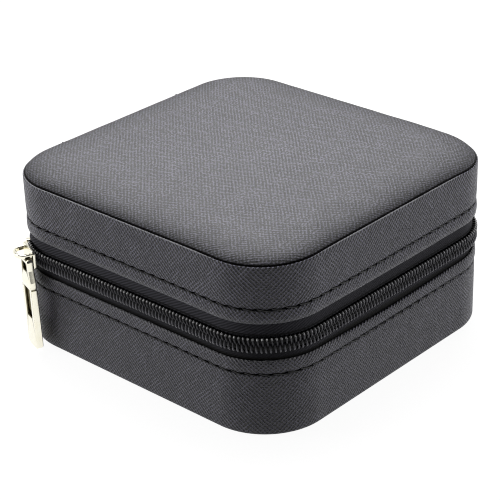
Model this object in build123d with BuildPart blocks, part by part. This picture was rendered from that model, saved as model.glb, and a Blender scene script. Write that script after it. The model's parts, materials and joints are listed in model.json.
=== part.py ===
from build123d import *
from math import cos, degrees, radians, sin, sqrt
import os

os.makedirs("parts", exist_ok=True)

# Zip-round leather jewellery case, in millimetres.
# +Z is up, -Y is the front, the hinge runs along X at the back (+Y).
# The origin is the middle of the bottom face.

# Outer form
case_width = 100.0
case_depth = 102.4
corner_radius = 18.8
base_rim_height = 22.4
zip_opening = 10.8
lid_wall_height = 16.6
panel_edge_step = 0.1
crown_rise = 1.4
bottom_edge_radius = 0.9
rim_edge_radius = 0.35

# Build-up of the walls, from the outside in
leather = 1.0
wall_board = 1.8
lining = 0.8
top_board = 1.6
bottom_board = 1.8
rim_turn = 0.7

# Seam round the top panel
seam_gap = 0.25
seam_depth = 2.2
top_roll_radius = 0.8

# Stitch lines
base_stitch_drop = 4.0
lid_stitch_rise = 4.1
stitch_groove_width = 0.9
stitch_groove_depth = 0.5
thread_width = 0.6
thread_cover = 0.15

# Zip
zip_rise = 4.6
tape_thickness = 0.6
tape_tuck = 6.0
coil_width = 1.8
coil_gap = 0.9
coil_proud = 0.6
tape_under_panel = 2.0
stop_length = 1.6
stop_proud = 0.25
stop_margin = 0.15
stop_to_panel = 0.3

# Slider, parked on the rear left corner; angles turn from -X towards +Y about the corner's centre
slider_angle = 21.0
slider_length = 8.2
slider_tail_width = 5.8
slider_nose_width = 6.4
slider_plate = 0.85
slider_gap_outside = 0.15
slider_gap_inside = 0.7
slider_lip_clearance = 0.15
slider_lip_length = 4.6
slider_to_stop = 0.8
slider_post_length = 1.2
slider_post_width = 0.6
slider_corner_radius = 1.2
bail_inner_radius = 1.5
bail_wire = 1.0
bail_length = 2.2
bail_rise = 0.7

# Pull
pull_tip_height = 0.7
pull_width = 7.6
pull_thickness = 1.4
pull_head_width = 5.6
pull_head_length = 6.2
pull_bar = 0.6
pull_eye_width = 3.1
pull_eye_length = 2.9
pull_plate_clearance = 0.3
pull_window_width = 3.8
pull_window_length = 9.0
pull_window_drop = 8.4
pull_corner_radius = 1.6
pull_shoulder_radius = 0.9

# Hinge panel across the back
panel_corner_margin = 5.7
panel_leather = 1.2
panel_foot = 0.6
panel_top_margin = 0.2
hinge_lining_overlap = 1.5
hinge_lining_thickness = 0.6

# Fittings in the base
partition_offset = -1.2
partition_thickness = 2.4
partition_drop = 1.0
tray_board = 1.2
roll_count = 5
roll_gap = 0.35
roll_side_margin = 1.0
roll_height = 12.0
fitting_clearance = 0.3
divider_thickness = 2.4
divider_drop = 1.3
divider_spread = 32.0

# Fittings in the lid
pocket_side_margin = 9.4
pocket_back_margin = 4.6
pocket_depth = 36.0
pocket_fabric = 0.8
pocket_fullness = 5.6
hem_width = 3.0
hem_thickness = 1.4
strip_side_margin = 8.4
strip_front_margin = 4.6
strip_depth = 22.0
strip_thickness = 1.2
tab_count = 3
tab_side_margin = 8.0
tab_width = 8.0
tab_end_radius = 2.6
tab_thickness = 1.2
tab_root_length = 4.0
tab_root_margin = 2.0
tab_length = 14.0
tab_clearance = 0.1
tab_root_gap = 0.1
stud_margin = 3.8
stud_cap_radius = 3.0
stud_cap_thickness = 1.0
stud_stem_radius = 0.9
socket_radius = 2.2
socket_thickness = 0.8
rivet_cap_radius = 1.8
rivet_cap_thickness = 0.6
pin_fit = 0.05

# Places that follow from the sizes above
wall_thickness = leather + wall_board + lining
tape_inset = leather
tape_back = leather + tape_thickness
board_back = leather + wall_board
floor_top = leather + bottom_board + lining
inner_half_width = case_width / 2 - wall_thickness
inner_half_depth = case_depth / 2 - wall_thickness
inner_corner_radius = corner_radius - wall_thickness
corner_x = case_width / 2 - corner_radius
corner_y = case_depth / 2 - corner_radius
panel_width = 2 * (corner_x - panel_corner_margin)
hinge_lining_width = panel_width + 2 * hinge_lining_overlap
tape_finish = panel_width / 2 - tape_under_panel
coil_finish = panel_width / 2 + stop_to_panel + stop_length
coil_start_angle = slider_angle + degrees((slider_length / 2 + slider_to_stop) / corner_radius)
lid_rim_height = base_rim_height + zip_opening
lid_seam_height = lid_rim_height + lid_wall_height
top_crown_height = lid_seam_height + panel_edge_step + crown_rise
panel_reach = sqrt(corner_x**2 + corner_y**2) + corner_radius - leather - seam_gap
top_crown_radius = (panel_reach**2 + crown_rise**2) / (2 * crown_rise)
base_stitch_height = base_rim_height - base_stitch_drop
lid_stitch_height = lid_rim_height + lid_stitch_rise
zip_height = base_rim_height + zip_rise
lid_board_top = lid_seam_height - seam_depth
lid_board_bottom = lid_board_top - top_board
lid_ceiling = lid_board_bottom - lining
far = case_width + case_depth
tall = 2 * top_crown_height


def case_outline(inset, mode=Mode.ADD):
    """Outline of the case, moved in by the inset."""
    RectangleRounded(
        case_width - 2 * inset, case_depth - 2 * inset, corner_radius - inset, mode=mode
    )


def band(low, high, outer, inner):
    """Upright band round the case between two insets."""
    with BuildPart() as made:
        with BuildSketch(Plane.XY.offset(low)):
            case_outline(outer)
            case_outline(inner, Mode.SUBTRACT)
        extrude(amount=high - low)
    return made.part


def crowned_block(inset, low, drop):
    """Block with the case's outline and a domed top, lowered by the drop."""
    with BuildPart() as made:
        with BuildSketch(Plane.XY.offset(low)):
            case_outline(inset)
        extrude(amount=tall)
        with Locations((0, 0, top_crown_height - top_crown_radius)):
            Sphere(top_crown_radius - drop, mode=Mode.INTERSECT)
    return made.part


def corner_plane(angle, outward, height):
    """Plane on the rear left corner: x along the zip to the front, y up, z outwards."""
    turn = radians(angle)
    reach = corner_radius + outward
    place = (-corner_x - reach * cos(turn), corner_y + reach * sin(turn), height)
    return Plane(origin=place, x_dir=(-sin(turn), -cos(turn), 0), z_dir=(-cos(turn), sin(turn), 0))


def save(piece, label):
    piece.label = label
    export_step(piece, f"parts/{label}.step")


# Base shell ------------------------------------------------------------------------------------

with BuildPart() as base_wall_leather:
    add(band(0, base_rim_height, 0, leather))
    bottom_edges = base_wall_leather.faces().sort_by(Axis.Z)[0].outer_wire().edges()
    fillet(bottom_edges, min(bottom_edge_radius, 0.9 * leather))
    fillet(base_wall_leather.faces().sort_by(Axis.Z)[-1].outer_wire().edges(), rim_edge_radius)
    groove_low = base_stitch_height - stitch_groove_width / 2
    add(band(groove_low, groove_low + stitch_groove_width, 0, stitch_groove_depth), mode=Mode.SUBTRACT)
save(base_wall_leather.part, "base_wall_leather")

with BuildPart() as base_stitching:
    thread_low = base_stitch_height - thread_width / 2
    add(band(thread_low, thread_low + thread_width, thread_cover, stitch_groove_depth))
save(base_stitching.part, "base_stitching")

with BuildPart() as base_bottom_leather:
    with BuildSketch():
        case_outline(leather)
    extrude(amount=leather)
save(base_bottom_leather.part, "base_bottom_leather")

with BuildPart() as base_bottom_board:
    with BuildSketch(Plane.XY.offset(leather)):
        case_outline(leather)
    extrude(amount=bottom_board)
save(base_bottom_board.part, "base_bottom_board")

base_tape_low = base_rim_height - tape_tuck
with BuildPart() as base_wall_board:
    add(band(leather + bottom_board, base_rim_height - rim_turn, leather, board_back))
    add(band(base_tape_low, base_rim_height, tape_inset, tape_back), mode=Mode.SUBTRACT)
save(base_wall_board.part, "base_wall_board")

with BuildPart() as base_lining:
    with BuildSketch(Plane.XY.offset(leather + bottom_board)):
        case_outline(board_back)
    extrude(amount=lining)
    add(band(leather + bottom_board, base_rim_height - rim_turn, board_back, wall_thickness))
    add(band(base_rim_height - rim_turn, base_rim_height, tape_back, wall_thickness))
save(base_lining.part, "base_lining")

# Zip -------------------------------------------------------------------------------------------

base_tape_high = zip_height - coil_gap / 2
lid_tape_low = zip_height + coil_gap / 2
lid_tape_high = lid_rim_height + tape_tuck


def zip_tape(low, high):
    """Tape round the case, open behind the hinge panel."""
    with BuildPart() as made:
        add(band(low, high, tape_inset, tape_back))
        with Locations((0, case_depth / 2, (low + high) / 2)):
            Box(2 * tape_finish, 2 * wall_thickness, high - low, mode=Mode.SUBTRACT)
    return made.part


def zip_coil(low):
    """Coil on the tape's face, from the parked slider round the front to the far side."""
    start = radians(coil_start_angle)
    with BuildPart() as made:
        add(band(low, low + coil_width, -coil_proud, tape_inset))
        with BuildSketch(Plane.XY.offset(low)):
            Polygon(
                (-corner_x, corner_y),
                (coil_finish, corner_y),
                (coil_finish, far),
                (-far, far),
                (-corner_x - far * cos(start), corner_y + far * sin(start)),
                align=None,
            )
        extrude(amount=coil_width, mode=Mode.SUBTRACT)
    return made.part


def start_stop(low):
    """Metal stop where the coil starts, behind the parked slider."""
    angle = coil_start_angle + degrees(stop_length / corner_radius)
    with BuildPart() as made:
        with BuildSketch(corner_plane(angle, coil_proud + stop_proud, low + coil_width / 2)):
            Rectangle(stop_length, coil_width - 2 * stop_margin)
        extrude(amount=-(tape_inset + coil_proud))
    return made.part


def end_stop(low):
    """Metal stop at the coil's far end, beside the hinge panel."""
    outer_y = case_depth / 2 + coil_proud + stop_proud
    with BuildPart() as made:
        with Locations((coil_finish, outer_y, low + stop_margin)):
            Box(
                stop_length,
                tape_inset + coil_proud + stop_proud,
                coil_width - 2 * stop_margin,
                align=(Align.MAX, Align.MAX, Align.MIN),
            )
    return made.part


base_coil_low = base_tape_high - coil_width
lid_coil_low = lid_tape_low
save(zip_tape(base_tape_low, base_tape_high), "base_zip_tape")
save(zip_coil(base_coil_low), "base_zip_coil")
save(start_stop(base_coil_low), "base_zip_top_stop")
save(end_stop(base_coil_low), "base_zip_end_stop")
save(zip_tape(lid_tape_low, lid_tape_high), "lid_zip_tape")
save(zip_coil(lid_coil_low), "lid_zip_coil")
save(start_stop(lid_coil_low), "lid_zip_top_stop")
save(end_stop(lid_coil_low), "lid_zip_end_stop")

# The slider's plates are flat, and the gap inside takes the corner's bend along its length.
plate_face = coil_proud + slider_gap_outside
plate_top = plate_face + slider_plate
inner_plate_face = -(tape_back + slider_gap_inside)
bail_axis_out = plate_top + pull_plate_clearance + pull_thickness / 2
bail_axis_height = zip_height + bail_rise
bail_outer_radius = bail_inner_radius + bail_wire
pull_length = bail_axis_height + pull_bar - pull_tip_height
slider_outline = [
    (-slider_length / 2, -slider_nose_width / 2),
    (slider_length / 2, -slider_tail_width / 2),
    (slider_length / 2, slider_tail_width / 2),
    (-slider_length / 2, slider_nose_width / 2),
]

with BuildPart() as zip_slider:
    for face in (plate_face, inner_plate_face - slider_plate):
        with BuildSketch(corner_plane(slider_angle, face, zip_height)) as plate_sketch:
            Polygon(*slider_outline, align=None)
            fillet(plate_sketch.vertices(), slider_corner_radius)
        extrude(amount=slider_plate)
    with BuildSketch(corner_plane(slider_angle, inner_plate_face, zip_height)):
        with Locations((slider_post_length - slider_length / 2, 0)):
            Rectangle(slider_post_length, slider_post_width)
    extrude(amount=plate_face - inner_plate_face)
    with BuildSketch(corner_plane(slider_angle, -tape_inset + slider_lip_clearance, zip_height)):
        with Locations((0, -slider_tail_width / 2)):
            Rectangle(
                slider_lip_length,
                slider_tail_width / 2 - coil_gap / 2 - coil_width - slider_lip_clearance,
                align=(Align.CENTER, Align.MIN),
            )
    extrude(amount=plate_face + tape_inset - slider_lip_clearance)
    bail_turn = radians(slider_angle)
    bail_reach = corner_radius + bail_axis_out
    bail_origin = (
        -corner_x - bail_reach * cos(bail_turn),
        corner_y + bail_reach * sin(bail_turn),
        bail_axis_height,
    )
    bail_plane = Plane(
        origin=bail_origin, x_dir=(0, 0, 1), z_dir=(-sin(bail_turn), -cos(bail_turn), 0)
    )
    with BuildSketch(bail_plane):
        Circle(bail_outer_radius)
        Rectangle(
            2 * bail_outer_radius, bail_axis_out - plate_top, align=(Align.CENTER, Align.MAX)
        )
        with Locations((0, plate_top - bail_axis_out)):
            Rectangle(
                2 * bail_outer_radius, bail_outer_radius, align=(Align.CENTER, Align.MAX), mode=Mode.SUBTRACT
            )
        Circle(bail_inner_radius, mode=Mode.SUBTRACT)
        with Locations((0, plate_top - bail_axis_out)):
            Rectangle(
                2 * bail_inner_radius,
                bail_axis_out - plate_top,
                align=(Align.CENTER, Align.MIN),
                mode=Mode.SUBTRACT,
            )
    extrude(amount=bail_length / 2, both=True)
save(zip_slider.part, "zip_slider")

head_half = pull_head_width / 2
pull_half = pull_width / 2
with BuildPart() as zip_pull:
    with BuildSketch(corner_plane(slider_angle, bail_axis_out, bail_axis_height)) as pull_sketch:
        Polygon(
            (-head_half, pull_bar),
            (-head_half, -pull_eye_length),
            (-pull_half, -pull_head_length),
            (-pull_half, pull_bar - pull_length),
            (pull_half, pull_bar - pull_length),
            (pull_half, -pull_head_length),
            (head_half, -pull_eye_length),
            (head_half, pull_bar),
            align=None,
        )
        fillet(pull_sketch.vertices().group_by(Axis.Y)[0], pull_corner_radius)
        fillet(pull_sketch.vertices().group_by(Axis.Y)[-1], pull_bar)
        fillet(pull_sketch.vertices().group_by(Axis.Y)[-4:-2], pull_shoulder_radius)
        with Locations((0, -pull_bar)):
            Rectangle(
                pull_eye_width,
                pull_eye_length - pull_bar,
                align=(Align.CENTER, Align.MAX),
                mode=Mode.SUBTRACT,
            )
        with Locations((0, -pull_window_drop)):
            Rectangle(
                pull_window_width, pull_window_length, align=(Align.CENTER, Align.MAX), mode=Mode.SUBTRACT
            )
    extrude(amount=pull_thickness / 2, both=True)
save(zip_pull.part, "zip_pull")

# Lid shell -------------------------------------------------------------------------------------

with BuildPart() as lid_wall_leather:
    add(band(lid_rim_height, lid_seam_height, 0, leather))
    fillet(lid_wall_leather.faces().sort_by(Axis.Z)[0].outer_wire().edges(), rim_edge_radius)
    fillet(lid_wall_leather.faces().sort_by(Axis.Z)[-1].outer_wire().edges(), rim_edge_radius)
    groove_low = lid_stitch_height - stitch_groove_width / 2
    add(band(groove_low, groove_low + stitch_groove_width, 0, stitch_groove_depth), mode=Mode.SUBTRACT)
save(lid_wall_leather.part, "lid_wall_leather")

with BuildPart() as lid_stitching:
    thread_low = lid_stitch_height - thread_width / 2
    add(band(thread_low, thread_low + thread_width, thread_cover, stitch_groove_depth))
save(lid_stitching.part, "lid_stitching")

with BuildPart() as lid_wall_board:
    add(band(lid_rim_height + rim_turn, lid_board_bottom, leather, board_back))
    add(band(lid_rim_height, lid_tape_high, tape_inset, tape_back), mode=Mode.SUBTRACT)
save(lid_wall_board.part, "lid_wall_board")

with BuildPart() as lid_top_board:
    with BuildSketch(Plane.XY.offset(lid_board_bottom)):
        case_outline(leather)
    extrude(amount=top_board)
save(lid_top_board.part, "lid_top_board")

with BuildPart() as lid_foam_pad:
    add(crowned_block(2 * leather + seam_gap, lid_board_top, leather))
save(lid_foam_pad.part, "lid_foam_pad")

with BuildPart() as lid_top_leather:
    add(crowned_block(leather + seam_gap, lid_board_top, 0))
    fillet(lid_top_leather.faces().sort_by(Axis.Z)[-1].edges(), top_roll_radius)
    add(lid_foam_pad.part, mode=Mode.SUBTRACT)
save(lid_top_leather.part, "lid_top_leather")

with BuildPart() as lid_lining:
    with BuildSketch(Plane.XY.offset(lid_ceiling)):
        case_outline(board_back)
    extrude(amount=lining)
    add(band(lid_rim_height + rim_turn, lid_board_bottom, board_back, wall_thickness))
    add(band(lid_rim_height, lid_rim_height + rim_turn, tape_back, wall_thickness))
save(lid_lining.part, "lid_lining")

# Hinge at the back -----------------------------------------------------------------------------


def hinge_panel(low, high):
    """Stretch of the leather strip on the outside of the back wall."""
    with BuildPart() as made:
        with Locations((0, case_depth / 2, low)):
            Box(panel_width, panel_leather, high - low, align=(Align.CENTER, Align.MIN, Align.MIN))
    return made.part


save(hinge_panel(panel_foot, base_rim_height), "hinge_panel_base")
save(hinge_panel(base_rim_height, lid_rim_height), "hinge_panel_bend")
save(hinge_panel(lid_rim_height, lid_seam_height + panel_top_margin), "hinge_panel_lid")

with BuildPart() as hinge_lining:
    with Locations((0, case_depth / 2 - board_back, base_rim_height)):
        Box(
            hinge_lining_width,
            hinge_lining_thickness,
            lid_rim_height - base_rim_height,
            align=(Align.CENTER, Align.MAX, Align.MIN),
        )
save(hinge_lining.part, "hinge_lining")

# Fittings in the base --------------------------------------------------------------------------

partition_top = base_rim_height - partition_drop
with BuildPart() as partition:
    with Locations((partition_offset, 0, floor_top)):
        Box(
            partition_thickness,
            2 * inner_half_depth,
            partition_top - floor_top,
            align=(Align.CENTER, Align.CENTER, Align.MIN),
        )
save(partition.part, "partition")

partition_left = partition_offset - partition_thickness / 2
partition_right = partition_offset + partition_thickness / 2
with BuildPart() as ring_tray_board:
    with BuildSketch(Plane.XY.offset(floor_top)):
        case_outline(wall_thickness + fitting_clearance)
        with Locations((partition_left - fitting_clearance, 0)):
            Rectangle(far, far, align=(Align.MIN, Align.CENTER), mode=Mode.SUBTRACT)
    extrude(amount=tray_board)
save(ring_tray_board.part, "ring_tray_board")


def roll_half_length(outer_x):
    """Half the length of a roll whose far side is at outer_x, inside the rounded lining."""
    radius = inner_corner_radius - fitting_clearance
    over = max(0, outer_x - corner_x)
    return corner_y + sqrt(max(0, radius**2 - over**2)) - roll_gap


tray_span = inner_half_width + partition_left - 2 * fitting_clearance - roll_side_margin
roll_width = (tray_span - (roll_count - 1) * roll_gap) / roll_count
roll_pitch = roll_width + roll_gap
for number in range(roll_count):
    roll_x = partition_left - fitting_clearance - roll_width / 2 - number * roll_pitch
    half_length = roll_half_length(abs(roll_x) + roll_width / 2)
    with BuildPart() as ring_roll:
        with BuildSketch(Plane.XZ.offset(-half_length)):
            with Locations((roll_x, floor_top + tray_board)):
                Rectangle(roll_width, roll_height - roll_width / 2, align=(Align.CENTER, Align.MIN))
            with Locations((roll_x, floor_top + tray_board + roll_height - roll_width / 2)):
                Circle(roll_width / 2)
        extrude(amount=2 * half_length)
    save(ring_roll.part, f"ring_roll_{number + 1}")

divider_height = partition_top - floor_top - divider_drop
divider_length = inner_half_width - partition_right - 2 * fitting_clearance
divider_x = partition_right + fitting_clearance + divider_length / 2
for label, side in (("divider_front", -1), ("divider_rear", 1)):
    with BuildPart() as divider:
        with Locations((divider_x, side * divider_spread / 2, floor_top)):
            Box(
                divider_length,
                divider_thickness,
                divider_height,
                align=(Align.CENTER, Align.CENTER, Align.MIN),
            )
    save(divider.part, label)

# Fittings in the lid ---------------------------------------------------------------------------

pocket_low = lid_ceiling - pocket_fullness
pocket_width = 2 * (inner_half_width - pocket_side_margin)
pocket_back = inner_half_depth - pocket_back_margin
pocket_front = pocket_back - pocket_depth
with BuildPart() as lid_pocket:
    with Locations((0, pocket_back, lid_ceiling)):
        Box(pocket_width, pocket_depth, pocket_fullness, align=(Align.CENTER, Align.MAX, Align.MAX))
    with Locations((0, pocket_back - pocket_fabric, lid_ceiling)):
        Box(
            pocket_width - 2 * pocket_fabric,
            pocket_depth - pocket_fabric,
            pocket_fullness - pocket_fabric,
            align=(Align.CENTER, Align.MAX, Align.MAX),
            mode=Mode.SUBTRACT,
        )
save(lid_pocket.part, "lid_pocket")

with BuildPart() as pocket_hem:
    with Locations((0, pocket_front, pocket_low)):
        Box(pocket_width, hem_width, hem_thickness, align=(Align.CENTER, Align.MAX, Align.MIN))
save(pocket_hem.part, "pocket_hem")

strip_low = lid_ceiling - strip_thickness
strip_width = 2 * (inner_half_width - strip_side_margin)
strip_front = strip_front_margin - inner_half_depth
root_front = strip_front + tab_root_margin
root_back = root_front + tab_root_length
stud_y = root_back + tab_length - stud_margin
rivet_y = root_front + tab_root_length / 2
tab_spacing = (strip_width - tab_width - 2 * tab_side_margin) / max(1, tab_count - 1)
tab_places = [(number - (tab_count - 1) / 2) * tab_spacing for number in range(tab_count)]
tab_high = strip_low - tab_clearance
tab_low = tab_high - tab_thickness

with BuildPart() as hook_strip:
    with Locations((0, strip_front, strip_low)):
        Box(strip_width, strip_depth, strip_thickness, align=(Align.CENTER, Align.MIN, Align.MIN))
    with Locations([(place, stud_y, strip_low) for place in tab_places]):
        Cylinder(
            socket_radius,
            socket_thickness,
            align=(Align.CENTER, Align.CENTER, Align.MIN),
            mode=Mode.SUBTRACT,
        )
    with Locations([(place, rivet_y, strip_low) for place in tab_places]):
        Cylinder(
            stud_stem_radius + pin_fit,
            strip_thickness,
            align=(Align.CENTER, Align.CENTER, Align.MIN),
            mode=Mode.SUBTRACT,
        )
save(hook_strip.part, "hook_strip")

with BuildPart() as snap_sockets:
    with Locations([(place, stud_y, strip_low) for place in tab_places]):
        Cylinder(socket_radius, socket_thickness, align=(Align.CENTER, Align.CENTER, Align.MIN))
        Cylinder(
            stud_stem_radius + pin_fit,
            socket_thickness,
            align=(Align.CENTER, Align.CENTER, Align.MIN),
            mode=Mode.SUBTRACT,
        )
save(snap_sockets.part, "snap_sockets")

with BuildPart() as tab_roots:
    with Locations([(place, root_front, strip_low) for place in tab_places]):
        Box(tab_width, tab_root_length, tab_thickness, align=(Align.CENTER, Align.MIN, Align.MAX))
    with Locations([(place, rivet_y, strip_low) for place in tab_places]):
        Cylinder(
            stud_stem_radius + pin_fit,
            tab_thickness,
            align=(Align.CENTER, Align.CENTER, Align.MAX),
            mode=Mode.SUBTRACT,
        )
save(tab_roots.part, "tab_roots")

with BuildPart() as tab_rivets:
    with Locations([(place, rivet_y, strip_low - tab_thickness) for place in tab_places]):
        Cylinder(rivet_cap_radius, rivet_cap_thickness, align=(Align.CENTER, Align.CENTER, Align.MAX))
        Cylinder(
            stud_stem_radius,
            tab_thickness + strip_thickness,
            align=(Align.CENTER, Align.CENTER, Align.MIN),
        )
save(tab_rivets.part, "tab_rivets")

for number, place in enumerate(tab_places):
    with BuildPart() as hook_tab:
        with Locations((place, root_back + tab_root_gap, tab_high)):
            Box(
                tab_width,
                tab_length - tab_root_gap,
                tab_thickness,
                align=(Align.CENTER, Align.MIN, Align.MAX),
            )
        fillet(hook_tab.edges().filter_by(Axis.Z).group_by(Axis.Y)[-1], tab_end_radius)
        with Locations((place, stud_y, tab_high)):
            Cylinder(
                stud_stem_radius + pin_fit,
                tab_thickness,
                align=(Align.CENTER, Align.CENTER, Align.MAX),
                mode=Mode.SUBTRACT,
            )
    save(hook_tab.part, f"hook_tab_{number + 1}")
    with BuildPart() as snap_cap:
        with Locations((place, stud_y, tab_low)):
            Cylinder(stud_cap_radius, stud_cap_thickness, align=(Align.CENTER, Align.CENTER, Align.MAX))
            Cylinder(stud_stem_radius, tab_thickness, align=(Align.CENTER, Align.CENTER, Align.MIN))
    save(snap_cap.part, f"snap_cap_{number + 1}")
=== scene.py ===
import json
from math import cos, dist, exp, hypot, pi, radians, sin, sqrt, tan

import bmesh
import bpy
from mathutils import Matrix, Vector, noise


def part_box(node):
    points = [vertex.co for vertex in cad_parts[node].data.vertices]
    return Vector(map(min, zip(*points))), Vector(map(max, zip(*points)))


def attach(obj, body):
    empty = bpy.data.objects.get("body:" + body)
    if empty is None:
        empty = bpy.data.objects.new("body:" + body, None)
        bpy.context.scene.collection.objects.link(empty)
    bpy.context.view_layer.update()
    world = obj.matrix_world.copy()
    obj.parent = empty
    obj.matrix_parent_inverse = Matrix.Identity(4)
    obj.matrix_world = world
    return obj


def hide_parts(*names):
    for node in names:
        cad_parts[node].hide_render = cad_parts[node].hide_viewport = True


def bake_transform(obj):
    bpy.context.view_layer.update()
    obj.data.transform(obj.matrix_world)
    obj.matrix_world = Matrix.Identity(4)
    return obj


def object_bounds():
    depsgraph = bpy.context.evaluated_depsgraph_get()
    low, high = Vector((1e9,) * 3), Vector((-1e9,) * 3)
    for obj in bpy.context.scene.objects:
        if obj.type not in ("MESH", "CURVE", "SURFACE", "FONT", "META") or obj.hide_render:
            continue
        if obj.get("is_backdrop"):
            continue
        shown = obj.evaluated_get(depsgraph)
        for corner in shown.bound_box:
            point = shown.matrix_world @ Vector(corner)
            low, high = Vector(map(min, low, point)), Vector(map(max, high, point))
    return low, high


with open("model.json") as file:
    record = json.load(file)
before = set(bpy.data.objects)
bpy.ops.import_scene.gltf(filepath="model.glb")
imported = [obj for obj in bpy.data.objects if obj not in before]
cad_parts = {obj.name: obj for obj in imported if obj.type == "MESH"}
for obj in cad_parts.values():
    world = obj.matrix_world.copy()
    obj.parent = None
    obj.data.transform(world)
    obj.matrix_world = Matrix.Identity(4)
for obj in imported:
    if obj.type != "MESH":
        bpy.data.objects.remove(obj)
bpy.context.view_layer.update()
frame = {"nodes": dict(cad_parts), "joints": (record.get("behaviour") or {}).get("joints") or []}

mm = 0.001
turn = 2 * pi


def lengths(**values):
    return {name: value * mm for name, value in values.items()}


# Node graphs: a socket that Python's operators work on, and one way to add any node.

class Value:
    def __init__(self, graph, socket):
        self.graph, self.socket = graph, socket

    def beside(self, output):
        return Value(self.graph, self.socket.node.outputs[output])


def operator(operation, swapped):
    def apply(value, other):
        terms = (other, value) if swapped else (value, other)
        return value.graph.maths(operation, *terms)
    return apply


operations = {"add": "ADD", "sub": "SUBTRACT", "mul": "MULTIPLY", "truediv": "DIVIDE", "pow": "POWER"}
for name, operation in operations.items():
    setattr(Value, f"__{name}__", operator(operation, False))
    setattr(Value, f"__r{name}__", operator(operation, True))


class Graph:
    def __init__(self, tree):
        self.tree = tree

    def add(self, kind, sockets=None, out=0, **settings):
        node = self.tree.nodes.new(kind if "Node" in kind else "ShaderNode" + kind)
        for key, value in settings.items():
            setattr(node, key, value)
        for key, value in (sockets or {}).items():
            if isinstance(value, Value):
                self.tree.links.new(value.socket, node.inputs[key])
            else:
                node.inputs[key].default_value = value
        return Value(self, node.outputs[out]) if len(node.outputs) else None

    def maths(self, operation, *terms):
        return self.add("Math", dict(enumerate(terms)), operation=operation)

    def mix(self, factor, first, second):
        return self.add("Mix", {0: factor, 6: first, 7: second}, 2, data_type="RGBA")

    def noise(self, place, size, detail=2.0, roughness=0.5):
        return self.add("TexNoise", {"Vector": place, "Scale": 1 / size, "Detail": detail,
                                     "Roughness": roughness})

    def attribute(self, name):
        return self.add("Attribute", out=2, attribute_name=name)

    def axes(self, place):
        split = self.add("SeparateXYZ", {0: place})
        return [split.beside(axis) for axis in "XYZ"]

    def wave(self, across):
        return self.maths("COSINE", across * turn) * 0.5 + 0.5

    def clamp(self, value):
        return self.add("Clamp", {"Value": value})


def colour(tone, blue=0.0):
    return (tone * (1 + blue * 0.1), tone, tone * (1 + blue), 1)


def newMaterial(name):
    material = bpy.data.materials.new(name)
    material.use_nodes = True
    material.node_tree.nodes.clear()
    return material, Graph(material.node_tree)


def surface(g, shade, roughness, sockets, height=None, bump=0.0, depth=0.0):
    sockets = {"Base Color": shade, "Roughness": roughness, **sockets}
    if height is not None:
        sockets["Normal"] = g.add("Bump", {"Strength": bump, "Distance": depth, "Height": height})
    g.add("OutputMaterial", {"Surface": g.add("BsdfPrincipled", sockets)})


def grainPlace(g):
    return g.add("UVMap", uv_map="grain")


def ownPlace(g):
    return g.add("TexCoord", out=3)


# Cross-grained leather: two families of embossed diagonal ridges that trade places.
def leatherMaterial(name, look):
    material, g = newMaterial(name)
    place = grainPlace(g)
    u, v, _ = g.axes(place)

    def uneven(kind, detail=2.0):
        return (g.noise(place, look[kind + "Size"], detail) - 0.5) * look[kind]

    drift, jitter, ridges = uneven("drift"), uneven("jitter", 1), []
    for sign, layer in ((1, 0.5), (-1, 0.77)):
        across, along = u + v * sign, u - v * sign
        line = g.add("CombineXYZ", {"X": across / (look["pitch"] * 1.5), "Y": along / look["streakLength"],
                                    "Z": layer})
        streak = 0.55 + g.noise(line, 1.0, 1) * 0.9
        ridge = g.wave(across / (look["pitch"] * sqrt(2)) + drift * sign + jitter)
        ridges.append(ridge ** look["sharpness"] * streak)
    ridgeA, ridgeB = ridges
    lead = g.clamp((u - look["turnAt"]) / look["turnLength"] + 0.5) * look["lead"] + 0.5 * (1 - look["lead"])
    trade = g.clamp((g.noise(place, look["tradeSize"], 1) - 0.5) * 2.5 + lead)
    pits = (1 - ridgeA * (1 - trade * 0.5)) * (1 - ridgeB * (0.5 + trade * 0.5))
    crossings = g.clamp(ridgeA * ridgeB * 1.8) * look["cross"]
    patches = 1 - g.clamp((g.noise(place, look["patchSize"], 1) - 0.42) * 5) * look["patches"]
    relief = ((1 - pits) * (1 - look["cross"]) + crossings - look["level"]) * look["emboss"] * patches
    height = relief + uneven("grit", 3) + look["level"]
    tone = g.clamp((height - look["level"]) * look["contrast"] + look["bias"] + uneven("cloud", 3))
    # Painted light: the attribute's positive values lighten the rims, from wear and a painted highlight, and
    # its negative values are painted shade.
    wearAndPaintedLight = g.attribute("wearAndPaintedLight")
    paintedShade = g.clamp(wearAndPaintedLight * -1)
    shade = g.mix(tone, look["valley"], look["ridge"])
    shade = g.mix(g.clamp(wearAndPaintedLight) * look["wearAndPaintedLight"], shade, look["wornRimAndHighlight"])
    shade = g.mix(paintedShade, shade, look["seam"])
    # Painted shade in a seam or groove also shines as little as bare metal that dark.
    surface(g, shade, look["roughness"] + (0.5 - height) * 0.12 + paintedShade * 0.4,
            {"Specular IOR Level": look["gloss"], "Metallic": paintedShade ** 3}, height, look["bump"], look["depth"])
    return material


# The rims lighten towards the worn colour, which holds a painted highlight, and painted shade darkens towards
# the seam colour.
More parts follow.
